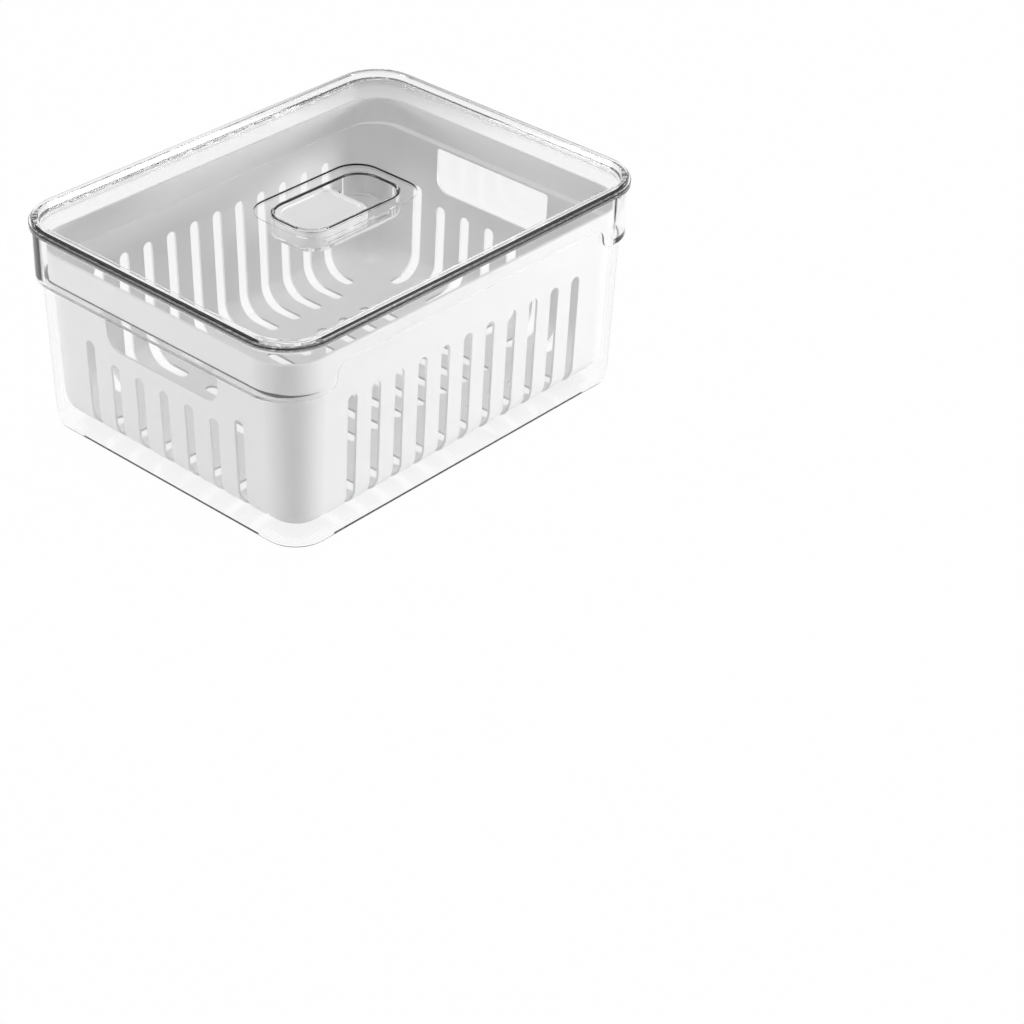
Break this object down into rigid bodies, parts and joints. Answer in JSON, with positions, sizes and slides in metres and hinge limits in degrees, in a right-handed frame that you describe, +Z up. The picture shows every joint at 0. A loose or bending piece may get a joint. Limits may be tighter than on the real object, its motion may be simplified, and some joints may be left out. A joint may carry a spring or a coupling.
{
  "type": "fridge organizer bin",
  "caption": "Lidded clear fridge bin with rounded corners, holding a removable slotted drain basket with hand holes, and a sliding vent in the lid's finger cup.",
  "frame": {"origin": "centre of the footprint, at the level of the feet", "axes": "+X along the long side, towards the open end of the finger cup, +Y across the short side to the back, +Z up through the lid"},
  "size_m": [0.29, 0.218, 0.133],
  "materials": {
    "bin_clear": "clear polished",
    "basket_white": "satin",
    "lid_clear": "clear polished",
    "slider_white": "semi-gloss"
  },
  "bodies": {
    "bin": {"clear_bin": "bin_clear"},
    "basket": {"basket": "basket_white"},
    "lid": {"lid": "lid_clear"},
    "slider": {"vent_slider": "slider_white"}
  },
  "joints": [
    {"name": "basket_lift", "type": "slide", "parent": "bin", "child": "basket", "axis": [0, 0, 1], "range_m": [0, 0.13]},
    {"name": "lid_lift", "type": "slide", "parent": "basket", "child": "lid", "axis": [0, 0, 1], "range_m": [0, 0.05]},
    {"name": "vent_slide", "type": "slide", "parent": "lid", "child": "slider", "axis": [1, 0, 0], "range_m": [0, 0.022]}
  ]
}
